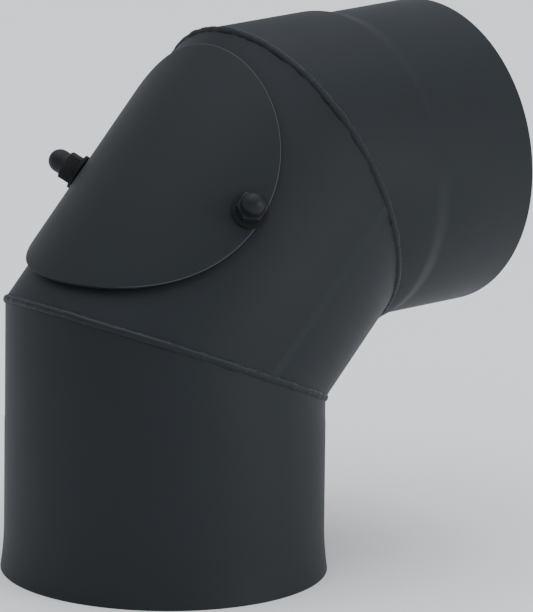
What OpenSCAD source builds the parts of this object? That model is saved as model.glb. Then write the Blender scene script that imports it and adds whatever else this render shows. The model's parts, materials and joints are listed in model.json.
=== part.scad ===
// Flue elbow, 90 degrees, three mitred segments, with a bolted cleaning cover.
// The lower leg runs up along +Z from the origin, the upper leg runs out along +X.

/* [Pipe] */
// Inside diameter of the pipe
bore_d = 150; // [120:10:200]
// Thickness of the pipe's steel
wall = 2; // [1.5:0.5:3]
// Radius of the bend on the pipe's axis
bend_r = 125; // [110:5:150]
// Straight length below the bend
lower_straight = 57; // [50:1:90]
// Straight length after the bend, with the spigot
upper_straight = 45; // [40:1:80]

/* [Ends] */
// How far the lower end's wall is belled out at its rim
bell_out = 1.7; // [0:0.1:2]
// Length of the belled stretch
bell_len = 23; // [10:1:30]
// Length of the sized socket above it, which a spigot slides into
socket_len = 50; // [40:1:51]
// How much the socket's radius is sized above the pipe's
socket_ease = 0.2; // [0.1:0.1:0.4]
// Outside diameter of the spigot, 1 mm less than the bore it fits
spigot_d = 149; // [119:1:199]
// Length of the straight part of the spigot
spigot_len = 53; // [40:1:60]
// Length of the step from pipe to spigot
step_len = 13; // [8:1:20]

/* [Welds] */
// Width of the bead round each mitre
bead_w = 5; // [3:0.5:7]
// Height of that bead above the pipe
bead_h = 1.2; // [0.5:0.1:2]
// Width of the dressed longitudinal welds
seam_w = 5; // [3:0.5:7]
// Height of the dressed longitudinal welds
seam_h = 0.35; // [0.2:0.05:0.6]

/* [Cleaning cover] */
// Width of the cover's flat blank, which is rolled round the pipe
cover_w = 144; // [134:1:148]
// Length of the blank, along the pipe
cover_l = 141; // [134:1:148]
// Thickness of the cover's sheet
cover_t = 2; // [1.5:0.5:3]
// Space between pipe and cover that the gasket fills
gasket_gap = 2.6; // [1.5:0.1:3]
// Diameter of the cleaning opening, measured on the pipe's surface
opening_d = 96; // [80:1:96]
// Width of the gasket
gasket_w = 6; // [4:1:6]
// Distance of the cover's middle from the segment's middle, along the segment
cover_shift = 0.5; // [0:0.5:2]

/* [Fasteners] */
// Angle of each stud from the cover's middle line
stud_angle = 47; // [47:1:48]
// Distance of the studs' cross line from the segment's middle, along the segment
stud_shift = 1.5; // [0:0.5:2]
// Distance of each stud from that line: the right one up the segment, the left one down
stud_skew = 2.2; // [0:0.1:3]
// Diameter of the studs' thread
stud_d = 8; // [8:1:8]
// Distance across the flats of the cap nuts
nut_flats = 13; // [13:1:13]
// Outside diameter of the washers
washer_d = 18; // [16:0.5:18]

/* [Hidden] */
$fn = 96;
bore_r = bore_d / 2;
pipe_r = bore_r + wall;
spigot_r = spigot_d / 2;
half_mitre = 22.5;                                   // each mitre plane's tilt
mitre_z = lower_straight + bend_r * tan(half_mitre); // height of the lower mitre's middle
leg = 2 * bend_r * tan(half_mitre);                  // axis length of the middle segment
mid_x = leg * sin(45);                               // where the upper leg's axis starts
upper_z = mitre_z + leg * cos(45);                   // height of the upper leg's axis
upper_len = bend_r * tan(half_mitre) + upper_straight;
socket_fade = 3;                                     // where the sized socket meets the plain pipe
far = 400;                                           // larger than the whole part

gasket_clear = 0.3;              // gap left under the gasket
fastener_clear = 0.15;           // gap under washer and nut
cover_in_r = pipe_r + gasket_gap;
cover_out_r = cover_in_r + cover_t;
plate_clear = 1;                 // gap round the locating plate
plate_depth = 1;                 // how far the plate stands into the opening
washer_t = 2;
washer_hole_d = 8.4;
slot_w = 9;
thread_clear = 0.05;             // running gap between stud and nut
nut_hex_h = 6.5;
nut_h = 15;
nut_dome_d = 11.4;
nut_hole_depth = 11;
nut_chamfer = 0.9;
washer_rho = cover_out_r + fastener_clear;
nut_rho = washer_rho + washer_t + fastener_clear;
stud_end_rho = nut_rho + nut_hole_depth - 1;
stud_chamfer = 0.8;
foot_d = 12.4;                   // diameter of the weld round a stud's foot
foot_h = 1.2;

paint = [0.20, 0.22, 0.23];
cover_paint = [0.17, 0.19, 0.20];
fibre = [0.80, 0.78, 0.70];
bare_steel = [0.62, 0.63, 0.64];

// ---- placing ----

// Puts things drawn round Z on the middle segment, with -X pointing out through the cover.
module on_middle() {
    translate([mid_x / 2, 0, mitre_z + leg * cos(45) / 2]) rotate([0, 45, 0]) children();
}

// Puts things drawn up Z on the upper leg, starting at the upper mitre's middle.
module on_upper() {
    translate([mid_x, 0, upper_z]) rotate([0, 90, 0]) children();
}

// Puts things drawn up Z on a stud's axis, with Z = distance from the middle segment's axis.
module on_stud(side) {
    on_middle() translate([0, 0, stud_shift + side * stud_skew]) rotate([0, 0, side * stud_angle])
        rotate([0, -90, 0]) children();
}

// Everything past the lower mitre plane, and everything past the upper one.
module past_lower_mitre() {
    translate([0, 0, mitre_z]) rotate([0, half_mitre, 0]) translate([-far / 2, -far / 2, 0]) cube(far);
}

module past_upper_mitre() {
    translate([mid_x, 0, upper_z]) rotate([0, 90 - half_mitre, 0]) translate([-far / 2, -far / 2, 0])
        cube(far);
}

// ---- shapes ----

module ring(r_in, r_out, h) {
    difference() {
        cylinder(r = r_out, h = h, center = true);
        cylinder(r = r_in, h = h + 2, center = true);
    }
}

// The middle segment's outside as a solid, for the feet that stand on it.
module pipe_core() {
    cylinder(r = pipe_r, h = leg, center = true, $fn = 720);
}

// A blank of radius r rolled round the middle segment, as a block with radial walls.
// Its size is measured along the pipe's surface. It reaches from inside the pipe to outside.
// An oval one is tall times as long as it is wide.
module rolled_blank(r, tall = 1, steps = 120) {
    inner = pipe_r * 0.75;
    outer = pipe_r * 1.3;
    bend = 180 / PI / cover_in_r;
    edge = [for (i = [0 : steps - 1]) let (a = 360 * i / steps) [r * cos(a) * bend, r * tall * sin(a)]];
    function at(radius, e) = [-radius * cos(e[0]), -radius * sin(e[0]), e[1] + cover_shift];
    points = concat([for (e = edge) at(inner, e)], [for (e = edge) at(outer, e)],
        [at(inner, [0, 0]), at(outer * 1.3, [0, 0])]);
    faces = [for (i = [0 : steps - 1]) let (j = (i + 1) % steps)
        each [[i, steps + j, j], [i, steps + i, steps + j], [2 * steps, i, j],
            [2 * steps + 1, steps + j, steps + i]]];
    polyhedron(points, faces);
}

// A weld bead round a mitre: the mitre plane is z = 0 and the bend's outer side is -X.
module mitre_bead(rings = 120) {
    across = [-1, -0.75, -0.4, 0, 0.4, 0.75, 1];
    root = [0.8, 0, -0.8];
    root_depth = 0.4;
    profile = concat([for (k = across) [k * bead_w / 2, bead_h * sqrt(1 - k * k * 0.98)]],
        [for (k = root) [k * bead_w / 2, -root_depth]]);
    n = len(profile);
    function slide(w) = sqrt(w * w + 0.3) * tan(half_mitre);
    function at(a, w, h) = [slide(w) + (pipe_r + h) * cos(a) / cos(half_mitre), (pipe_r + h) * sin(a), w];
    points = [for (i = [0 : rings - 1], p = profile) at(360 * i / rings, p[0], p[1])];
    faces = [for (i = [0 : rings - 1], k = [0 : n - 1])
        let (a = i * n + k, b = i * n + (k + 1) % n,
            c = ((i + 1) % rings) * n + (k + 1) % n, d = ((i + 1) % rings) * n + k)
        each [[a, c, b], [a, d, c]]];
    polyhedron(points, faces);
}

// A dressed weld along a pipe drawn round Z, on its +X side, from z = 0 to z = h.
module seam_strip(h) {
    intersection() {
        translate([0, 0, h / 2]) ring(pipe_r, pipe_r + seam_h, h);
        translate([0, -seam_w / 2, 0]) cube([pipe_r * 2, seam_w, h]);
    }
}

// ---- pipe ----

module lower_segment() {
    steps = 12;
    top = mitre_z + pipe_r;
    socket_top = bell_len + socket_len;
    bell = [for (i = [0 : steps]) [socket_ease + bell_out * pow(1 - i / steps, 2), bell_len * i / steps]];
    side = concat(bell, [[socket_ease, socket_top], [0, socket_top + socket_fade], [0, top]]);
    last = len(side) - 1;
    color(paint) difference() {
        rotate_extrude() polygon(concat([for (p = side) [pipe_r + p[0], p[1]]],
            [for (i = [last : -1 : 0]) [bore_r + side[i][0], side[i][1]]]));
        past_lower_mitre();
    }
}

module middle_segment() {
    color(paint) difference() {
        intersection() {
            on_middle() ring(bore_r, pipe_r, leg * 2);
            past_lower_mitre();
        }
        past_upper_mitre();
        on_middle() rolled_blank(opening_d / 2);
    }
}

module upper_segment() {
    steps = 12;
    step_z = upper_len - spigot_len - step_len;
    drop = pipe_r - spigot_r;
    neck = [for (i = [0 : steps]) [drop * (1 - cos(180 * i / steps)) / 2, step_z + step_len * i / steps]];
    color(paint) intersection() {
        on_upper() rotate_extrude() polygon(concat([[pipe_r, -pipe_r]],
            [for (p = neck) [pipe_r - p[0], p[1]]],
            [[spigot_r, upper_len], [spigot_r - wall, upper_len]],
            [for (i = [steps : -1 : 0]) [bore_r - neck[i][0], neck[i][1]]],
            [[bore_r, -pipe_r]]));
        past_upper_mitre();
    }
}

// ---- welds ----

module lower_mitre_weld() {
    color(paint) translate([0, 0, mitre_z]) rotate([0, half_mitre, 0]) mitre_bead();
}

module upper_mitre_weld() {
    color(paint) translate([mid_x, 0, upper_z]) rotate([0, 90 - half_mitre, 0]) mitre_bead();
}

module lower_seam_weld() {
    start = bell_len + socket_len + socket_fade;
    color(paint) translate([0, 0, start]) rotate([0, 0, 90]) seam_strip(mitre_z - start);
}

module middle_seam_weld() {
    color(paint) on_middle() translate([0, 0, -leg / 2]) rotate([0, 0, -90]) seam_strip(leg);
}

module upper_seam_weld() {
    color(paint) on_upper() rotate([0, 0, 90]) seam_strip(upper_len - spigot_len - step_len);
}

// ---- cleaning cover ----

module cover() {
    color(cover_paint) difference() {
        on_middle() intersection() {
            ring(cover_in_r, cover_out_r, cover_w * 2);
            rolled_blank(cover_w / 2, cover_l / cover_w);
        }
        for (side = [-1, 1]) on_stud(side) {
            cylinder(d = slot_w, h = pipe_r * 1.5);
            translate([-slot_w / 2, side > 0 ? -slot_w * 2 : 0, 0])
                cube([slot_w, slot_w * 2, pipe_r * 1.5]);
        }
    }
}

module cover_gasket() {
    color(fibre) on_middle() intersection() {
        ring(pipe_r + gasket_clear, cover_in_r, cover_w * 2);
        difference() {
            rolled_blank(opening_d / 2 + 1.5 + gasket_w);
            rolled_blank(opening_d / 2 + 1.5);
        }
    }
}

module cover_locating_plate() {
    color(bare_steel) on_middle() intersection() {
        ring(pipe_r - plate_depth, cover_in_r, cover_w * 2);
        rolled_blank(opening_d / 2 - plate_clear);
    }
}

// ---- fasteners ----

module stud(side) {
    color(bare_steel) difference() {
        on_stud(side) translate([0, 0, pipe_r - wall]) {
            length = stud_end_rho - pipe_r + wall;
            cylinder(d = stud_d - 2 * thread_clear, h = length - stud_chamfer);
            translate([0, 0, length - stud_chamfer])
                cylinder(d1 = stud_d - 2 * thread_clear, d2 = stud_d - 2 * stud_chamfer, h = stud_chamfer);
        }
        on_middle() pipe_core();
    }
}

module stud_weld(side) {
    color(paint) difference() {
        on_stud(side) translate([0, 0, pipe_r - wall])
            cylinder(d1 = foot_d + 2 * wall, d2 = stud_d + 1, h = wall + foot_h);
        on_middle() pipe_core();
        on_stud(side) cylinder(d = stud_d - 2 * thread_clear, h = pipe_r * 1.5);
    }
}

module washer(side) {
    color(paint) on_stud(side) translate([0, 0, washer_rho]) difference() {
        cylinder(d = washer_d, h = washer_t);
        translate([0, 0, -1]) cylinder(d = washer_hole_d, h = washer_t + 2);
    }
}

module cap_nut(side) {
    dome_r = nut_dome_d / 2;
    corner_r = nut_flats / sqrt(3);
    color(paint) on_stud(side) translate([0, 0, nut_rho]) difference() {
        union() {
            intersection() {
                cylinder(r = corner_r, h = nut_hex_h, $fn = 6);
                cylinder(r1 = nut_flats / 2 + nut_hex_h - nut_chamfer / 2, r2 = nut_flats / 2 - nut_chamfer / 2,
                    h = nut_hex_h);
            }
            cylinder(r = dome_r, h = nut_h - dome_r);
            translate([0, 0, nut_h - dome_r]) sphere(r = dome_r);
        }
        translate([0, 0, -1]) cylinder(d = stud_d, h = nut_hole_depth + 1);
    }
}

module left_stud() stud(-1);
module right_stud() stud(1);
module left_stud_weld() stud_weld(-1);
module right_stud_weld() stud_weld(1);
module left_washer() washer(-1);
module right_washer() washer(1);
module left_cap_nut() cap_nut(-1);
module right_cap_nut() cap_nut(1);

lower_segment();
middle_segment();
upper_segment();
lower_mitre_weld();
upper_mitre_weld();
lower_seam_weld();
middle_seam_weld();
upper_seam_weld();
cover();
cover_gasket();
cover_locating_plate();
left_stud();
right_stud();
left_stud_weld();
right_stud_weld();
left_washer();
right_washer();
left_cap_nut();
right_cap_nut();
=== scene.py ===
import json
import math

import bpy
from mathutils import Matrix, Vector, noise


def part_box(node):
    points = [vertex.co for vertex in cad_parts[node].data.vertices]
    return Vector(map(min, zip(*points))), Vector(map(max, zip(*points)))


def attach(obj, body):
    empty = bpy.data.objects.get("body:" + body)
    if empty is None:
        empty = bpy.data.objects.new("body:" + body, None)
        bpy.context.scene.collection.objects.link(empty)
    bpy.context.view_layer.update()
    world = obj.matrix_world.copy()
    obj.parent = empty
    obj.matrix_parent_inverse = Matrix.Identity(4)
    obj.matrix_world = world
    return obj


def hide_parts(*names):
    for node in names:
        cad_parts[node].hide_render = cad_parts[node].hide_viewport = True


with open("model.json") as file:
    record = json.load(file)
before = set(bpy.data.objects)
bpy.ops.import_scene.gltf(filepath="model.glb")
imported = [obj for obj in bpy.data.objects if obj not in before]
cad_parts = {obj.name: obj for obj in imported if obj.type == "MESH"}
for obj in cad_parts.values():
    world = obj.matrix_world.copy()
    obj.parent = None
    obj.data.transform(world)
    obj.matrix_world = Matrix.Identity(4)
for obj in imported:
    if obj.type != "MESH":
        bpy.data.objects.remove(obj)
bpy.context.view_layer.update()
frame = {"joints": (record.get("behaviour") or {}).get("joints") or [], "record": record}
mounts = {m["name"]: m for m in frame["record"]["mounts"]}
joints = {j["name"]: j for j in frame["joints"]}
mm = 0.001
mergeGap = 0.001 * mm      # points nearer than this are merged

# where things are, read from the frame
spigotMount = mounts["upper_spigot"]
socketMount = mounts["lower_socket"]
seamLow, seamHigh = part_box("middle_seam_weld")
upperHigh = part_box("upper_segment")[1]
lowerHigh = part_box("lower_segment")[1]
pipeRadius = upperHigh.y
axisHeight = spigotMount["pos_m"][2]
middleCentre = Vector(((seamLow.x + seamHigh.x) / 2, 0, (seamLow.z + seamHigh.z) / 2))
legReach = 2 * middleCentre.x
lowerMitre = Vector((0, 0, axisHeight - legReach))
upperMitre = Vector((legReach, 0, axisHeight))
wall = 2 * mm
halfMitre = math.radians(22.5)      # each joint turns the pipe by twice this
outward = Vector(joints["cover_lift"]["axis"]).normalized()
along = Vector((outward.z, 0, -outward.x))      # up the middle segment
lowerPlane = Vector((math.sin(halfMitre), 0, math.cos(halfMitre)))
upperPlane = Vector((math.cos(halfMitre), 0, math.sin(halfMitre)))
plateLow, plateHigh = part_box("cover_locating_plate")
coverCentre = middleCentre + along * ((plateLow + plateHigh) / 2 - middleCentre).dot(along)
nutStart = (Vector(joints["left_nut_turn"]["pos_m"]) - middleCentre).cross(along).length


def srgb(code):
    channels = [int(code[i:i + 2], 16) / 255 for i in (1, 3, 5)]
    return [c / 12.92 if c <= 0.04045 else ((c + 0.055) / 1.055) ** 2.4 for c in channels] + [1.0]


def addNode(tree, kind, settings=None, inputs=None):
    made = tree.nodes.new(kind)
    for name, value in (settings or {}).items():
        setattr(made, name, value)
    for name, value in (inputs or {}).items():
        if isinstance(value, bpy.types.NodeSocket):
            tree.links.new(value, made.inputs[name])
        else:
            made.inputs[name].default_value = value
    return made


def newMaterial(name):
    made = bpy.data.materials.new(name)
    made.use_nodes = True
    made.node_tree.nodes.clear()
    return made, made.node_tree


def only(obj):
    if bpy.context.object and bpy.context.object.mode != "OBJECT":
        bpy.ops.object.mode_set(mode="OBJECT")
    bpy.ops.object.select_all(action="DESELECT")
    obj.select_set(True)
    bpy.context.view_layer.objects.active = obj


def edit(obj):
    only(obj)
    bpy.ops.object.mode_set(mode="EDIT")
    bpy.ops.mesh.select_all(action="SELECT")


def done():
    bpy.ops.object.mode_set(mode="OBJECT")


# Puts an object's place into its mesh.
def settle(obj):
    only(obj)
    bpy.ops.object.transform_apply(location=True, rotation=True, scale=True)


def place(obj, matrix):
    only(obj)
    obj.matrix_world = matrix @ obj.matrix_world
    settle(obj)


# Adds a named primitive with nothing else selected.
def start(name, primitive, **settings):
    bpy.ops.object.select_all(action="DESELECT")
    primitive(**settings)
    obj = bpy.context.object
    obj.name = name
    return obj


def modify(obj, kind, **settings):
    only(obj)
    mod = obj.modifiers.new(kind, kind)
    for name, value in settings.items():
        setattr(mod, name, value)
    bpy.ops.object.modifier_apply(modifier=mod.name)


def carve(obj, cutter, operation="DIFFERENCE"):
    modify(obj, "BOOLEAN", object=cutter, operation=operation, solver="EXACT")
    bpy.data.objects.remove(cutter)


# Rounds the edges that are sharper than the angle. A finish is the slot that the new faces take.
def roundEdges(obj, width, degrees=50, segments=2, finish=-1):
    modify(obj, "BEVEL", width=width, segments=segments, limit_method="ANGLE",
           angle_limit=math.radians(degrees), material=finish)


def smooth(obj, degrees=35):
    only(obj)
    bpy.ops.object.shade_smooth_by_angle(angle=math.radians(degrees))


def selectFaces(obj, test):
    bpy.ops.mesh.select_all(action="DESELECT")
    bpy.ops.object.mode_set(mode="OBJECT")
    for face in obj.data.polygons:
        face.select = test(face)
    bpy.ops.object.mode_set(mode="EDIT")


def extrudeBy(x, y, z):
    bpy.ops.mesh.extrude_region_move(TRANSFORM_OT_translate={"value": (x, y, z)})


def faceOutwards():
    bpy.ops.mesh.select_all(action="SELECT")
    bpy.ops.mesh.normals_make_consistent(inside=False)


# Spins what is selected once round Z and closes the shell.
def spinRound(steps, gap):
    bpy.ops.mesh.spin(steps=steps, angle=math.tau, center=(0, 0, 0), axis=(0, 0, 1))
    bpy.ops.mesh.select_all(action="SELECT")
    bpy.ops.mesh.remove_doubles(threshold=gap)
    faceOutwards()


# One point to extrude a profile from, left selected in edit mode.
def startPoint(name, radius, height):
    obj = start(name, bpy.ops.mesh.primitive_plane_add, size=1 * mm, location=(radius, 0, height))
    bpy.ops.object.mode_set(mode="EDIT")
    bpy.ops.mesh.select_mode(type="VERT")
    bpy.ops.mesh.merge(type="CENTER")
    return obj


# Spins an outline of (radius, height) points round Z. One that starts off the axis is closed into a wall.
def turned(name, outline, steps=96):
    first, last = outline[0], outline[-1]
    obj = startPoint(name, first[0], first[1])
    for here, there in zip(outline, outline[1:]):
        extrudeBy(there[0] - here[0], 0, there[1] - here[1])
    if first[0] > 0:
        extrudeBy(first[0] - last[0], 0, first[1] - last[1])
    bpy.ops.mesh.select_all(action="SELECT")
    bpy.ops.mesh.remove_doubles(threshold=mergeGap)
    spinRound(steps, mergeGap)
    settle(obj)
    return obj


# Cuts the wall at a mitre plane, keeps the side the normal points to, and closes the cut.
def mitreCut(obj, point, normal):
    edit(obj)
    bpy.ops.mesh.bisect(plane_co=point, plane_no=normal, clear_inner=True, use_fill=False, threshold=mergeGap)
    bpy.ops.mesh.select_all(action="DESELECT")
    bpy.ops.mesh.select_mode(type="EDGE")
    bpy.ops.mesh.select_non_manifold(extend=False, use_wire=False, use_boundary=True,
                                     use_multi_face=False, use_non_contiguous=False, use_verts=False)
    bpy.ops.mesh.bridge_edge_loops()
    faceOutwards()
    done()


# A flat round or oval blank in the XZ plane, ready to roll. It is thick towards -Y, which rolls to the
# outside, and sunk is how far it is set in.
def flatBlank(name, width, length, thickness, sunk=0, corners=160):
    obj = start(name, bpy.ops.mesh.primitive_circle_add, vertices=corners, radius=width / 2, fill_type="NGON")
    place(obj, Matrix.Rotation(math.radians(90), 4, "X") @ Matrix.Rotation(math.pi / corners, 4, "Z"))
    edit(obj)
    bpy.ops.transform.resize(value=(1, 1, length / width), center_override=(0, 0, 0))
    extrudeBy(0, -thickness, 0)
    faceOutwards()
    bpy.ops.transform.translate(value=(0, sunk, 0))
    done()
    return obj


# Cuts a flat piece into strips and rolls it round the middle segment, so that its Y = 0 plane lies at the
# radius. The turn keeps its determinant at +1: a mirrored one would turn the mesh inside out.
def rollOn(obj, radius, strip=2 * mm):
    low = min(v.co.x for v in obj.data.vertices)
    width = max(v.co.x for v in obj.data.vertices) - low
    strips = int(width / strip)
    edit(obj)
    for i in range(1, strips):
        bpy.ops.mesh.select_all(action="SELECT")
        bpy.ops.mesh.bisect(plane_co=(low + width * i / strips, 0, 0), plane_no=(1, 0, 0), threshold=mergeGap)
    done()
    modify(obj, "SIMPLE_DEFORM", deform_method="BEND", deform_axis="Z", angle=width / radius)
    turn = Matrix((along.cross(outward), -outward, along)).transposed().to_4x4()
    place(obj, Matrix.Translation(coverCentre) @ turn @ Matrix.Translation((0, -radius, 0)))


# The place of a piece drawn up Z on a stud, with Z = distance from the middle segment's axis.
def onStud(side):
    joint = joints[side + "_nut_turn"]
    axis = Vector(joint["axis"]).normalized()
    turn = Matrix((along, axis.cross(along), axis)).transposed()
    return Matrix.Translation(Vector(joint["pos_m"]) - axis * nutStart) @ turn.to_4x4()


def giveFinishes(obj, *materials):
    for material in materials:
        obj.data.materials.append(material)


def finishPiece(obj, body, node):
    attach(obj, body)
    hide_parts(node)


# A test for faces on the inner side of a wall that is round about an axis.
def isInner(centre, axis, radius):
    def test(face):
        away = face.center - centre
        away -= axis * away.dot(axis)
        return away.length < radius - wall / 2 and face.normal.dot(away) < -0.3 * away.length
    return test


# Leaves the inside unpainted: its faces take the second slot.
def bareInside(obj, test):
    for face in obj.data.polygons:
        if face.material_index == 0 and test(face):
            face.material_index = 1


paintLook = {
    "colour": "#161a1d", "patch": "#1b2023", "roughness": 0.6, "roughnessSpread": 0.03, "specular": 0.26,
    "patchSize": 60 * mm, "patchRange": (0.3, 0.7), "grainSize": 0.9 * mm, "grainDepth": 0.035 * mm,
    "peelSize": 4 * mm, "peelDepth": 0.02 * mm,
}


# Matt silicone stove paint, sprayed on steel: even charcoal with a fine dry grain and a soft sheen. The
# grain is drawn coarser than real, so that it shows.
def stovePaint(name, look):
    made, tree = newMaterial(name)
    where = addNode(tree, "ShaderNodeTexCoord")
    patches = addNode(tree, "ShaderNodeTexNoise", {}, {
        "Vector": where.outputs["Object"], "Scale": 1 / look["patchSize"], "Detail": 2.0, "Roughness": 0.5})
    tone = addNode(tree, "ShaderNodeMix", {"data_type": "RGBA"}, {      # sockets 6 and 7 are its two colours
        0: patches.outputs["Fac"], 6: srgb(look["colour"]), 7: srgb(look["patch"])})
    grain = addNode(tree, "ShaderNodeTexNoise", {}, {
        "Vector": where.outputs["Object"], "Scale": 1 / look["grainSize"], "Detail": 3.0, "Roughness": 0.6})
    peel = addNode(tree, "ShaderNodeTexNoise", {}, {
        "Vector": where.outputs["Object"], "Scale": 1 / look["peelSize"], "Detail": 1.0})
    sheen = addNode(tree, "ShaderNodeMapRange", {}, {
        "Value": patches.outputs["Fac"], "From Min": look["patchRange"][0], "From Max": look["patchRange"][1],
        "To Min": look["roughness"] - look["roughnessSpread"],
        "To Max": look["roughness"] + look["roughnessSpread"]})
    peelBump = addNode(tree, "ShaderNodeBump", {}, {
        "Height": peel.outputs["Fac"], "Strength": 1.0, "Distance": look["peelDepth"]})
    grainBump = addNode(tree, "ShaderNodeBump", {}, {
        "Height": grain.outputs["Fac"], "Strength": 1.0, "Distance": look["grainDepth"],
        "Normal": peelBump.outputs["Normal"]})
    shader = addNode(tree, "ShaderNodeBsdfPrincipled", {}, {
        "Base Color": tone.outputs[2], "Roughness": sheen.outputs["Result"],
        "Normal": grainBump.outputs["Normal"], "Specular IOR Level": look["specular"]})
    addNode(tree, "ShaderNodeOutputMaterial", {}, {"Surface": shader.outputs["BSDF"]})
    return made


# The same paint in other tones: lighter as a painted highlight on edges and weld shoulders, near-black as
# painted shade.
def paintLike(name, colour, patch, roughness=paintLook["roughness"]):
    return stovePaint(name, {**paintLook, "colour": colour, "patch": patch, "roughness": roughness})


steelLook = {
    "colour": "#45494d", "cloud": "#6a6c6e", "cloudSize": 18 * mm, "cloudRange": (0.3, 0.7),
    "roughness": (0.62, 0.42), "metallic": 0.85, "scaleSize": 0.8 * mm, "scaleDepth": 0.02 * mm,
}


# Bare hot-rolled steel as it leaves the rolls: dull blue-grey scale, faintly clouded.
def millSteel(look):
    made, tree = newMaterial("millSteel")
    where = addNode(tree, "ShaderNodeTexCoord")
    clouds = addNode(tree, "ShaderNodeTexNoise", {}, {
        "Vector": where.outputs["Object"], "Scale": 1 / look["cloudSize"], "Detail": 5.0, "Roughness": 0.6})
    tone = addNode(tree, "ShaderNodeValToRGB", {}, {"Fac": clouds.outputs["Fac"]})
    dark, light = tone.color_ramp.elements
    dark.position, light.position = look["cloudRange"]
    dark.color, light.color = srgb(look["colour"]), srgb(look["cloud"])
    rough = addNode(tree, "ShaderNodeMapRange", {}, {
        "Value": clouds.outputs["Fac"], "To Min": look["roughness"][0], "To Max": look["roughness"][1]})
    fine = addNode(tree, "ShaderNodeTexNoise", {}, {
        "Vector": where.outputs["Object"], "Scale": 1 / look["scaleSize"], "Detail": 2.0})
    bump = addNode(tree, "ShaderNodeBump", {}, {
        "Height": fine.outputs["Fac"], "Strength": 1.0, "Distance": look["scaleDepth"]})
    shader = addNode(tree, "ShaderNodeBsdfPrincipled", {}, {
        "Base Color": tone.outputs["Color"], "Metallic": look["metallic"],
        "Roughness": rough.outputs["Result"], "Normal": bump.outputs["Normal"]})
    addNode(tree, "ShaderNodeOutputMaterial", {}, {"Surface": shader.outputs["BSDF"]})
    return made


zincLook = {"colour": "#6e7174", "cloud": "#8d9093", "cloudSize": 3 * mm, "roughness": (0.28, 0.42)}


# Bright zinc plating on a rolled thread: pale silver, a little cloudy.
def zincPlate(look):
    made, tree = newMaterial("zincPlate")
    where = addNode(tree, "ShaderNodeTexCoord")
    clouds = addNode(tree, "ShaderNodeTexNoise", {}, {
        "Vector": where.outputs["Object"], "Scale": 1 / look["cloudSize"], "Detail": 3.0})
    tone = addNode(tree, "ShaderNodeValToRGB", {}, {"Fac": clouds.outputs["Fac"]})
    dark, light = tone.color_ramp.elements
    dark.color, light.color = srgb(look["colour"]), srgb(look["cloud"])
    rough = addNode(tree, "ShaderNodeMapRange", {}, {
        "Value": clouds.outputs["Fac"], "To Min": look["roughness"][0], "To Max": look["roughness"][1]})
    shader = addNode(tree, "ShaderNodeBsdfPrincipled", {}, {
        "Base Color": tone.outputs["Color"], "Metallic": 1.0, "Roughness": rough.outputs["Result"]})
    addNode(tree, "ShaderNodeOutputMaterial", {}, {"Surface": shader.outputs["BSDF"]})
    return made


tapeLook = {
    "shade": "#a39c86", "yarn": "#e3ddcb", "shadeEnd": 0.3, "bandScale": 0.5, "waver": 0.6,
    "depth": 0.25 * mm, "roughness": 0.92, "specular": 0.2, "fuzz": 0.3,
}


# Woven glass-fibre tape: off-white yarns over and under, fuzzy and without shine.
def glassTape(look):
    made, tree = newMaterial("glassTape")
    where = addNode(tree, "ShaderNodeUVMap", {"uv_map": "weave"})
    warp = addNode(tree, "ShaderNodeTexWave", {"bands_direction": "X"}, {
        "Vector": where.outputs["UV"], "Scale": look["bandScale"],
        "Distortion": look["waver"], "Detail": 1.0})
    weft = addNode(tree, "ShaderNodeTexWave", {"bands_direction": "Y"}, {
        "Vector": where.outputs["UV"], "Scale": look["bandScale"],
        "Distortion": look["waver"], "Detail": 1.0})
    both = addNode(tree, "ShaderNodeMath", {"operation": "MAXIMUM"}, {
        0: warp.outputs["Fac"], 1: weft.outputs["Fac"]})
    tone = addNode(tree, "ShaderNodeValToRGB", {}, {"Fac": both.outputs["Value"]})
    dark, light = tone.color_ramp.elements
    dark.position = look["shadeEnd"]
    dark.color, light.color = srgb(look["shade"]), srgb(look["yarn"])
    bump = addNode(tree, "ShaderNodeBump", {}, {
        "Height": both.outputs["Value"], "Strength": 1.0, "Distance": look["depth"]})
    shader = addNode(tree, "ShaderNodeBsdfPrincipled", {}, {
        "Base Color": tone.outputs["Color"], "Roughness": look["roughness"],
        "Specular IOR Level": look["specular"], "Sheen Weight": look["fuzz"],
        "Normal": bump.outputs["Normal"]})
    addNode(tree, "ShaderNodeOutputMaterial", {}, {"Surface": shader.outputs["BSDF"]})
    return made


paint = stovePaint("mattStovePaint", paintLook)
# Lighter paint for the rounded edges: a painted highlight.
edgeHighlightPaint = paintLike("mattStovePaintRubbed", "#353c41", "#40474c", 0.45)
# Lighter paint for the weld beads' high shoulders: a painted highlight.
beadHighlightPaint = paintLike("mattStovePaintBead", "#20262a", "#2a3135", 0.5)
seamPaint = paintLike("mattStovePaintSeam", "#161b1e", "#1c2124", 0.58)
# Near-black paint for weld toes, nut flats and washers: painted shade.
shadePaint = paintLike("mattStovePaintThin", "#090a0b", "#0c0e0f", 0.7)
fastenerPaint = paintLike("mattStovePaintFastener", "#111416", "#15181a", 0.48)
coverPaint = paintLike("mattStovePaintCover", "#15191b", "#191e21")
steel = millSteel(steelLook)
zinc = zincPlate(zincLook)
tape = glassTape(tapeLook)
print("materials made")


cameraSet = {
    "azimuth": -42.005, "elevation": 13.987, "roll": 0.676, "distance": 4.1767,
    "lens": 508.8, "sensor": 36, "farClip": 100, "target": (0.05792, -0.00758, 0.1218),
}


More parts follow.
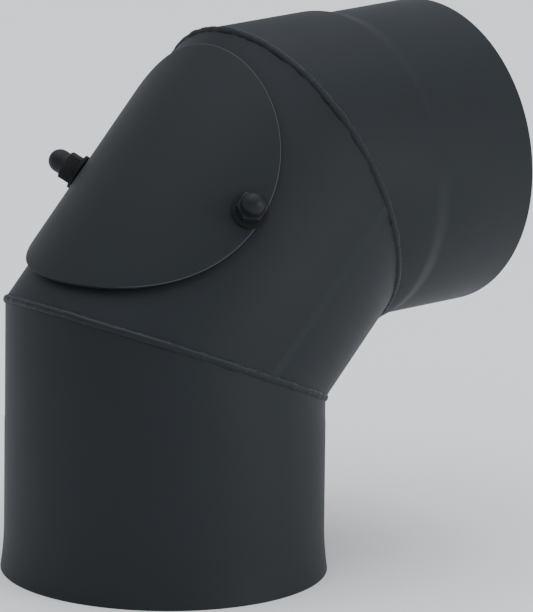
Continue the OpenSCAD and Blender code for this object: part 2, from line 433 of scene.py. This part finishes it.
def makeCamera():
    az = math.radians(cameraSet["azimuth"])
    el = math.radians(cameraSet["elevation"])
    roll = math.radians(cameraSet["roll"])
    back = Vector((math.sin(az) * math.cos(el), -math.cos(az) * math.cos(el), math.sin(el)))
    right = Vector((math.cos(az), math.sin(az), 0))
    up = back.cross(right)
    tiltedRight = right * math.cos(roll) + up * math.sin(roll)
    tiltedUp = up * math.cos(roll) - right * math.sin(roll)
    data = bpy.data.cameras.new("camera")
    data.lens = cameraSet["lens"]
    data.sensor_width = cameraSet["sensor"]
    data.clip_end = cameraSet["farClip"]
    camera = bpy.data.objects.new("camera", data)
    bpy.context.scene.collection.objects.link(camera)
    turn = Matrix((tiltedRight, tiltedUp, back)).transposed().to_4x4()
    spot = Vector(cameraSet["target"]) + back * cameraSet["distance"]
    camera.matrix_world = Matrix.Translation(spot) @ turn
    bpy.context.scene.camera = camera


lightSet = {
    "worldColour": "#eef3fa", "worldStrength": 0.77, "aim": (0.05, 0, 0.13),
    "softboxes": [
        {"name": "topBox", "at": (0, 0, 3.2), "size": (4.5, 4.5), "power": 97, "colour": "#f4f8ff"},
        {"name": "rightBox", "at": (1.2, -3.0, 0.8), "size": (1.2, 1.2), "power": 34, "colour": "#ffffff"},
    ],
}


def makeLights():
    world = bpy.data.worlds.new("studio")
    bpy.context.scene.world = world
    world.use_nodes = True
    sky = world.node_tree.nodes["Background"]
    sky.inputs["Color"].default_value = srgb(lightSet["worldColour"])
    sky.inputs["Strength"].default_value = lightSet["worldStrength"]
    for box in lightSet["softboxes"]:
        data = bpy.data.lights.new(box["name"], "AREA")
        data.shape = "RECTANGLE"
        data.size, data.size_y = box["size"]
        data.energy = box["power"]
        data.color = srgb(box["colour"])[:3]
        light = bpy.data.objects.new(box["name"], data)
        bpy.context.scene.collection.objects.link(light)
        light.location = box["at"]
        aim = Vector(lightSet["aim"]) - light.location
        light.rotation_euler = aim.to_track_quat("-Z", "Y").to_euler()


floorSet = {"size": 40, "colour": "#fafafa", "roughness": 0.9}


def makeFloor():
    floor = start("floor", bpy.ops.mesh.primitive_plane_add, size=floorSet["size"])
    made, tree = newMaterial("paperFloor")
    shader = addNode(tree, "ShaderNodeBsdfPrincipled", {}, {
        "Base Color": srgb(floorSet["colour"]), "Roughness": floorSet["roughness"]})
    addNode(tree, "ShaderNodeOutputMaterial", {}, {"Surface": shader.outputs["BSDF"]})
    floor.data.materials.append(made)


makeCamera()
makeLights()
makeFloor()
print("camera, lights and floor made")


pipeSet = {
    "steps": 256, "rimRound": 0.35 * mm, "bellLength": 23 * mm, "bellSteps": 14,
    "socketLength": 50 * mm, "socketFade": 3 * mm, "neckLength": 13 * mm, "neckSteps": 16,
}
openingSet = {"radius": 48 * mm, "plugThickness": 24 * mm, "plugSunk": 14 * mm}
coverSet = {
    "width": 144 * mm, "length": 141 * mm, "thickness": 2 * mm, "gap": 2.6 * mm, "edgeRound": 0.35 * mm,
    "slotWidth": 9 * mm, "slotRun": 14 * mm, "slotDepth": 20 * mm, "paintedEdge": -0.75,
}
coverIn = pipeRadius + coverSet["gap"]
coverOut = coverIn + coverSet["thickness"]


# Rounds a painted piece's sharp edges, whose new faces take the lighter paint in its third slot: a painted
# highlight.
def roundRims(obj, width=pipeSet["rimRound"], degrees=50, segments=3):
    roundEdges(obj, width, degrees, segments, 2)


def lowerSegment():
    ease = socketMount["dims"]["r_mm"] * mm - (pipeRadius - wall)
    bellOut = lowerHigh.y - pipeRadius - ease
    length = pipeSet["bellLength"]
    socketTop = length + pipeSet["socketLength"]
    steps = pipeSet["bellSteps"]
    side = [(ease + bellOut * (1 - i / steps) ** 2, length * i / steps) for i in range(steps + 1)]
    side += [(ease, socketTop), (0, socketTop + pipeSet["socketFade"]), (0, lowerMitre.z + pipeRadius)]
    outer = [(pipeRadius + r, z) for r, z in side]
    inner = [(pipeRadius - wall + r, z) for r, z in reversed(side)]
    obj = turned("lowerSegment", outer + inner, pipeSet["steps"])
    giveFinishes(obj, paint, steel, edgeHighlightPaint)
    mitreCut(obj, lowerMitre, -lowerPlane)
    roundRims(obj)
    smooth(obj)
    finishPiece(obj, "elbow", "lower_segment")
    bareInside(obj, isInner(Vector(), Vector((0, 0, 1)), pipeRadius + bellOut))


def middleSegment():
    half = middleCentre.x * 2.4      # reaches past both mitres, which then cut it
    r = pipeRadius
    outline = [(r, -half), (r, half), (r - wall, half), (r - wall, -half)]
    obj = turned("middleSegment", outline, pipeSet["steps"])
    giveFinishes(obj, paint, steel, edgeHighlightPaint)
    turn = Matrix((outward.cross(along), outward, along)).transposed()
    place(obj, Matrix.Translation(middleCentre) @ turn.to_4x4())
    mitreCut(obj, lowerMitre, lowerPlane)
    mitreCut(obj, upperMitre, -upperPlane)
    roundRims(obj)
    size = openingSet["radius"] * 2
    plug = flatBlank("openingPlug", size, size, openingSet["plugThickness"], openingSet["plugSunk"])
    rollOn(plug, coverIn)
    carve(obj, plug)
    smooth(obj)
    finishPiece(obj, "elbow", "middle_segment")
    bareInside(obj, isInner(middleCentre, along, pipeRadius))


def upperSegment():
    spigotRadius = spigotMount["dims"]["r_mm"] * mm
    spigotLength = spigotMount["dims"]["length_mm"] * mm
    length = upperHigh.x - upperMitre.x
    neckLength = pipeSet["neckLength"]
    neckStart = length - spigotLength - neckLength
    drop = pipeRadius - spigotRadius
    steps = pipeSet["neckSteps"]
    neck = [(drop * (1 - math.cos(math.pi * i / steps)) / 2, neckStart + neckLength * i / steps)
            for i in range(steps + 1)]
    side = [(0, -pipeRadius)] + neck + [(drop, length)]
    outer = [(pipeRadius - r, z) for r, z in side]
    inner = [(pipeRadius - wall - r, z) for r, z in reversed(side)]
    obj = turned("upperSegment", outer + inner, pipeSet["steps"])
    giveFinishes(obj, paint, steel, edgeHighlightPaint)
    place(obj, Matrix.Translation(upperMitre) @ Matrix.Rotation(math.radians(90), 4, "Y"))
    mitreCut(obj, upperMitre, upperPlane)
    roundRims(obj)
    smooth(obj)
    finishPiece(obj, "elbow", "upper_segment")
    bareInside(obj, isInner(upperMitre, Vector((1, 0, 0)), pipeRadius))


lowerSegment()
middleSegment()
upperSegment()
print("pipe segments made")


beadSet = {
    "radius": 2.35 * mm, "sink": 1.4 * mm, "ringSteps": 960, "roundSteps": 20, "mergeGap": 0.01 * mm,
    "swell": 0.4 * mm, "swellLength": 5 * mm, "wander": 0.45 * mm, "wanderLength": 14 * mm,
    "ripplePitch": 2.2 * mm, "rippleHeight": 0.2 * mm, "rippleBow": 0.9, "rippleDrift": 0.8,
    "driftLength": 9 * mm, "lumps": 0.16 * mm, "lumpSize": 1.3 * mm, "inwardShift": 0.35 * mm,
    "toe": 0.16, "toeMottle": 0.7, "shoulder": (0.3, 0.62), "shoulderMottle": (0.2, 0.3),
    "mottleSize": 2.5 * mm,
}


# A hand-laid weld bead round a mitre: a ring with crescent ripples, lumps and a wandering edge.
def mitreWeld(name, node, centre, normal, seed):
    ring = pipeRadius - beadSet["sink"]
    obj = start(name, bpy.ops.mesh.primitive_circle_add, vertices=beadSet["roundSteps"],
                radius=beadSet["radius"], location=(ring, 0, 0), rotation=(math.radians(90), 0, 0))
    edit(obj)
    spinRound(beadSet["ringSteps"], beadSet["mergeGap"])
    settle(obj)
    for vertex in obj.data.vertices:
        angle = math.atan2(vertex.co.y, vertex.co.x)
        radial = Vector((math.cos(angle), math.sin(angle), 0))
        spot = radial * ring
        across = vertex.co - spot
        around = Vector((math.cos(angle), math.sin(angle), seed)) * ring
        size = 1 + beadSet["swell"] / beadSet["radius"] * noise.noise(around / beadSet["swellLength"])
        drift = beadSet["wander"] * noise.noise(around / beadSet["wanderLength"] + Vector((9, 0, 0)))
        lean = across.z / beadSet["radius"]
        uneven = beadSet["rippleDrift"] * noise.noise(around / beadSet["driftLength"])
        phase = angle * ring / beadSet["ripplePitch"] + beadSet["rippleBow"] * lean * lean + uneven
        ripple = beadSet["rippleHeight"] * (2 * abs(phase % 1 - 0.5) - 0.5)
        lump = beadSet["lumps"] * noise.noise(vertex.co / beadSet["lumpSize"])
        vertex.co = spot + across * size + across.normalized() * (ripple + lump) + Vector((0, 0, drift))
    edit(obj)
    bpy.ops.transform.resize(value=(1 / math.cos(halfMitre), 1, 1), center_override=(0, 0, 0))
    done()
    inner = Vector((normal.z, 0, -normal.x))     # towards the inside of the bend, in the mitre plane
    turn = Matrix((inner, normal.cross(inner), normal)).transposed()
    place(obj, Matrix.Translation(centre + inner * beadSet["inwardShift"]) @ turn.to_4x4())
    smooth(obj, 60)
    giveFinishes(obj, paint, shadePaint, beadHighlightPaint)
    low, high = beadSet["shoulder"]
    lowMottle, highMottle = beadSet["shoulderMottle"]
    for face in obj.data.polygons:
        spread = (face.center - centre).dot(normal) / beadSet["radius"]
        mottle = noise.noise(face.center / beadSet["mottleSize"])
        if abs(spread) > 1 - beadSet["toe"] * (1 + beadSet["toeMottle"] * mottle):      # painted shade in the crevices at both toes
            face.material_index = 1
        elif low + lowMottle * mottle < spread < high + highMottle * mottle:     # the high shoulder, lighter: a painted highlight
            face.material_index = 2
    finishPiece(obj, "elbow", node)


seamSet = {
    "width": 5 * mm, "height": 0.2 * mm, "thickness": 0.6 * mm, "sink": 0.03 * mm,
    "stepsAcross": 16, "step": 0.6 * mm, "ragged": 0.16, "raggedLength": 4 * mm,
    "wave": 0.06 * mm, "waveAcross": 2 * mm, "waveAlong": 2.5 * mm,
}


# A dressed weld: a low crowned strip with an uneven edge, laid along a pipe's side.
def seamWeld(name, node, low, high, side, seed):
    run = high - low
    length = run.length
    obj = start(name, bpy.ops.mesh.primitive_grid_add, x_subdivisions=seamSet["stepsAcross"],
                y_subdivisions=int(length / seamSet["step"]), size=1)
    edit(obj)
    bpy.ops.transform.resize(value=(seamSet["width"], length, 1), center_override=(0, 0, 0))
    extrudeBy(0, 0, -seamSet["thickness"])
    faceOutwards()
    done()
    for vertex in obj.data.vertices:
        x, y = vertex.co.x, vertex.co.y
        edgeSpot = Vector((math.copysign(1, x) * 3, y / seamSet["raggedLength"], seed))
        edge = 1 + seamSet["ragged"] * noise.noise(edgeSpot)
        share = min(1.0, abs(x) * 2 / seamSet["width"])
        sag = pipeRadius - math.sqrt(pipeRadius ** 2 - x * x)
        onTop = vertex.co.z > -seamSet["thickness"] / 2
        crown = seamSet["height"] * (1 - share ** 2) if onTop else 0
        waveSpot = Vector((x / seamSet["waveAcross"], y / seamSet["waveAlong"], seed + 5))
        wave = seamSet["wave"] * noise.noise(waveSpot) * (1 - share)
        vertex.co = Vector((x * edge, y, vertex.co.z + crown - sag - seamSet["sink"] + wave))
    turn = Matrix((run.normalized().cross(side), run.normalized(), side)).transposed()
    place(obj, Matrix.Translation((low + high) / 2 + side * pipeRadius) @ turn.to_4x4())
    smooth(obj, 60)
    giveFinishes(obj, seamPaint)
    finishPiece(obj, "elbow", node)


near = Vector((0, -1, 0))
mitreWeld("lowerMitreWeld", "lower_mitre_weld", lowerMitre, lowerPlane, 1.0)
mitreWeld("upperMitreWeld", "upper_mitre_weld", upperMitre, upperPlane, 2.0)
halfSeam = along * (seamHigh - seamLow).length * 0.48      # just short of the beads at both ends
seamWeld("middleSeamWeld", "middle_seam_weld", middleCentre - halfSeam, middleCentre + halfSeam, near, 3.0)
low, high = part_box("lower_seam_weld")
seamWeld("lowerSeamWeld", "lower_seam_weld", Vector((0, 0, low.z)), Vector((0, 0, high.z)), -near, 4.0)
low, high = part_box("upper_seam_weld")
seamWeld("upperSeamWeld", "upper_seam_weld", Vector((low.x, 0, axisHeight)),
         Vector((high.x, 0, axisHeight)), -near, 5.0)
print("welds made")


def cover():
    obj = flatBlank("cleaningCover", coverSet["width"], coverSet["length"], coverSet["thickness"])
    giveFinishes(obj, coverPaint, steel, edgeHighlightPaint)
    roundRims(obj, coverSet["edgeRound"])
    rollOn(obj, coverIn)
    for side in ("left", "right"):
        slot = start("slotCutter", bpy.ops.mesh.primitive_cylinder_add, vertices=48,
                     radius=coverSet["slotWidth"] / 2, depth=coverSet["slotDepth"], location=(0, 0, coverOut))
        edit(slot)
        out = 1 if onStud(side).to_3x3().col[1].dot(outward) < 0 else -1      # the slot's open end
        selectFaces(slot, lambda face: face.normal.y * out > 0.05 and abs(face.normal.z) < 0.5)
        extrudeBy(0, out * coverSet["slotRun"], 0)
        faceOutwards()
        done()
        place(slot, onStud(side))
        carve(obj, slot)
    smooth(obj)
    finishPiece(obj, "cover", "cover")
    bareInside(obj, isInner(middleCentre, along, coverOut))
    for face in obj.data.polygons:      # the lower edge gets no painted highlight
        if face.material_index == 2 and face.normal.x < coverSet["paintedEdge"]:
            face.material_index = 0


plateSet = {"radius": 47 * mm, "thickness": 3.6 * mm, "edgeRound": 0.3 * mm, "corners": 120}


def locatingPlate():
    size = plateSet["radius"] * 2
    thickness = plateSet["thickness"]
    obj = flatBlank("coverLocatingPlate", size, size, thickness, thickness, plateSet["corners"])
    roundEdges(obj, plateSet["edgeRound"])
    rollOn(obj, coverIn)
    smooth(obj)
    giveFinishes(obj, steel)
    finishPiece(obj, "cover", "cover_locating_plate")


gasketSet = {
    "inside": 49.5 * mm, "outside": 55.5 * mm, "thickness": 2.2 * mm, "edgeRound": 0.4 * mm,
    "corners": 160, "rings": 6, "weaveUnit": 1.2 * mm,      # one unit of the weave map, about 1.6 yarns
}


def gasket():
    obj = start("coverGasket", bpy.ops.mesh.primitive_circle_add, vertices=gasketSet["corners"],
                radius=gasketSet["inside"], fill_type="NOTHING")
    place(obj, Matrix.Rotation(math.radians(90), 4, "X"))
    edit(obj)
    grow = gasketSet["outside"] / gasketSet["inside"]
    rings = gasketSet["rings"]
    for i in range(rings):
        share = (1 + (grow - 1) * (i + 1) / rings) / (1 + (grow - 1) * i / rings)
        bpy.ops.mesh.extrude_region_move()
        bpy.ops.transform.resize(value=(share, 1, share), center_override=(0, 0, 0))
    faceOutwards()
    extrudeBy(0, gasketSet["thickness"], 0)
    faceOutwards()
    done()
    roundEdges(obj, gasketSet["edgeRound"])
    unit = gasketSet["weaveUnit"]
    weave = obj.data.uv_layers.new(name="weave")
    for face in obj.data.polygons:
        turns = [math.atan2(obj.data.vertices[i].co.z, obj.data.vertices[i].co.x) for i in face.vertices]
        for loop, turn in zip(face.loop_indices, turns):
            if turn < turns[0] - math.pi:
                turn += math.tau
            if turn > turns[0] + math.pi:
                turn -= math.tau
            spot = obj.data.vertices[obj.data.loops[loop].vertex_index].co
            across = Vector((spot.x, spot.z)).length + spot.y
            weave.data[loop].uv = (turn * gasketSet["inside"] / unit, across / unit)
    rollOn(obj, coverIn)
    smooth(obj)
    giveFinishes(obj, tape)
    finishPiece(obj, "cover", "cover_gasket")


cover()
locatingPlate()
gasket()
print("cleaning cover made")


nutSet = {
    "flats": 13 * mm, "hexHeight": 6.5 * mm, "height": 15 * mm, "domeRadius": 5.7 * mm, "chamfer": 0.9 * mm,
    "edgeRound": 0.2 * mm, "rimRound": 0.18 * mm, "holeRadius": 4 * mm, "holeDepth": 11 * mm,
    "holeMouth": 1.5 * mm, "holeTip": 1.2 * mm,
}


def capNut():
    corner = nutSet["flats"] / math.sqrt(3)
    flat = nutSet["flats"] / 2
    h = nutSet["hexHeight"]
    obj = start("capNut", bpy.ops.mesh.primitive_cylinder_add, vertices=6, radius=corner, depth=h,
                location=(0, 0, h / 2), rotation=(0, 0, math.radians(30)))
    settle(obj)
    giveFinishes(obj, fastenerPaint, steel, edgeHighlightPaint, shadePaint)
    for face in obj.data.polygons:
        if abs(face.normal.z) < 0.5:      # the six flats, near-black: painted shade
            face.material_index = 3
    roundEdges(obj, nutSet["edgeRound"], 30)

    # both ends of the hexagon are chamfered by keeping what is inside a turned shape
    widest = corner + 0.4 * mm
    edge = [(0, -0.1 * mm), (flat - 0.2 * mm, -0.1 * mm), (flat + 0.1 * mm, 0.1 * mm), (widest, 0.55 * mm),
            (widest, h - nutSet["chamfer"] * 0.9), (flat - 0.15 * mm, h + 0.05 * mm), (0, h + 0.05 * mm)]
    carve(obj, turned("nutChamfer", edge, 96), "INTERSECT")
    # The chamfer rims take the lighter paint: a painted highlight.
    roundRims(obj, nutSet["rimRound"], 25, 2)

    # the crown, with a fillet where it meets the hexagon
    dome = nutSet["domeRadius"]
    crownZ = nutSet["height"] - dome
    angles = [math.radians(a) for a in range(0, 90, 6)]
    arc = [(dome * math.cos(a), crownZ + dome * math.sin(a)) for a in angles]
    fillet = [(dome + 0.35 * mm, h - 0.2 * mm), (dome + 0.1 * mm, h + 0.12 * mm), (dome, h + 0.4 * mm)]
    inside = [(0, h * 0.5), (dome - 0.5 * mm, h * 0.5)]
    carve(obj, turned("nutCrown", inside + fillet + arc + [(0, nutSet["height"])], 64), "UNION")

    r, depth = nutSet["holeRadius"], nutSet["holeDepth"]
    bore = [(0, -1 * mm), (r + nutSet["holeMouth"], -1 * mm), (r, 0.5 * mm), (r, depth),
            (0, depth + nutSet["holeTip"])]
    carve(obj, turned("nutHole", bore, 48))
    smooth(obj, 30)
    return obj


washerSet = {"radius": 9 * mm, "hole": 4.2 * mm, "thickness": 2 * mm, "edge": 0.35 * mm, "nutGap": 0.15 * mm}
washerStart = nutStart - washerSet["nutGap"] - washerSet["thickness"]


def washer():
    r, hole, t, e = washerSet["radius"], washerSet["hole"], washerSet["thickness"], washerSet["edge"]
    outline = [(hole, e * 0.5), (hole + e * 0.5, 0), (r - e, 0), (r - e * 0.3, e * 0.3), (r, e), (r, t - e),
               (r - e * 0.3, t - e * 0.3), (r - e, t), (hole + e * 0.5, t), (hole, t - e * 0.5)]
    obj = turned("washer", outline, 96)
    # Near-black paint all over the washer: painted shade.
    giveFinishes(obj, shadePaint)
    smooth(obj)
    return obj


studSet = {
    "radius": 3.95 * mm, "root": 3.3 * mm, "pitch": 1.25 * mm, "flank": 0.42, "crest": 0.16,
    "chamfer": 0.8 * mm, "sunk": 1.2 * mm, "endGap": 1 * mm, "steps": 40, "spareTurns": 5,
    "mergeGap": 0.005 * mm,
}


# The thread is one tooth screwed up the stud, then cut off at the foot and the tip.
def stud():
    r, c, p = studSet["radius"], studSet["chamfer"], studSet["pitch"]
    gap = studSet["mergeGap"]
    foot = pipeRadius - studSet["sunk"]
    top = nutStart + nutSet["holeDepth"] - studSet["endGap"]
    obj = startPoint("stud", studSet["root"], foot - 2 * p)
    deep = r - studSet["root"]
    flank, crest = studSet["flank"] * p, studSet["crest"] * p
    for x, z in ((deep, flank), (0, crest), (-deep, flank)):
        extrudeBy(x, 0, z)
    settle(obj)
    turns = int((top - foot) / p) + studSet["spareTurns"]
    modify(obj, "SCREW", angle=math.tau, screw_offset=p, iterations=turns, steps=studSet["steps"],
           render_steps=studSet["steps"], use_merge_vertices=True, merge_threshold=gap)
    edit(obj)
    bpy.ops.mesh.remove_doubles(threshold=gap)
    for point, normal in (((0, 0, foot), (0, 0, 1)), ((0, 0, top), (0, 0, -1))):
        bpy.ops.mesh.select_all(action="SELECT")
        bpy.ops.mesh.bisect(plane_co=point, plane_no=normal, clear_inner=True, use_fill=True)
    faceOutwards()
    done()
    widest = r + 1 * mm
    tip = [(0, foot - 1 * mm), (widest, foot - 1 * mm), (widest, top - c - 1 * mm),
           (r - c, top + mergeGap), (0, top + mergeGap)]
    carve(obj, turned("studTip", tip, 64), "INTERSECT")
    smooth(obj, 40)
    giveFinishes(obj, zinc)
    return obj


# The profile is in millimetres: the radius, and the height above the buried foot.
footWeldSet = {
    "profile": [(6.4, 0), (6.2, 0.55), (5.4, 0.85), (4.7, 1.2), (4.25, 1.75)], "height": 1.85 * mm,
    "sunk": 0.6 * mm, "overlap": 0.3 * mm, "lumps": 0.05, "lumpHeight": 0.06 * mm, "lumpSize": 1.5 * mm,
}


def studWeld():
    foot = pipeRadius - footWeldSet["sunk"]
    r = studSet["radius"] - footWeldSet["overlap"]
    side = [(radius * mm, foot + height * mm) for radius, height in footWeldSet["profile"]]
    obj = turned("studWeld", [(r, foot)] + side + [(r, foot + footWeldSet["height"])], 96)
    for vertex in obj.data.vertices:
        x, y, z = vertex.co
        if Vector((x, y, 0)).length > studSet["radius"]:
            lump = noise.noise(vertex.co / footWeldSet["lumpSize"])
            grow = 1 + footWeldSet["lumps"] * lump
            vertex.co = Vector((x * grow, y * grow, z + footWeldSet["lumpHeight"] * lump))
    smooth(obj, 60)
    giveFinishes(obj, paint)
    return obj


# One of each is modelled, then each side gets its own copy with its own mesh.
def fitBothSides(made, lift, body, node):
    for side in ("left", "right"):
        copy = made.copy()
        copy.data = made.data.copy()
        copy.name = side + made.name[0].upper() + made.name[1:]
        bpy.context.scene.collection.objects.link(copy)
        place(copy, onStud(side) @ Matrix.Translation((0, 0, lift)))
        finishPiece(copy, body.format(side), node.format(side))
    bpy.data.objects.remove(made)


fitBothSides(stud(), 0, "elbow", "{}_stud")
fitBothSides(studWeld(), 0, "elbow", "{}_stud_weld")
fitBothSides(washer(), washerStart, "{}_washer", "{}_washer")
fitBothSides(capNut(), nutStart, "{}_cap_nut", "{}_cap_nut")
print("fasteners made")
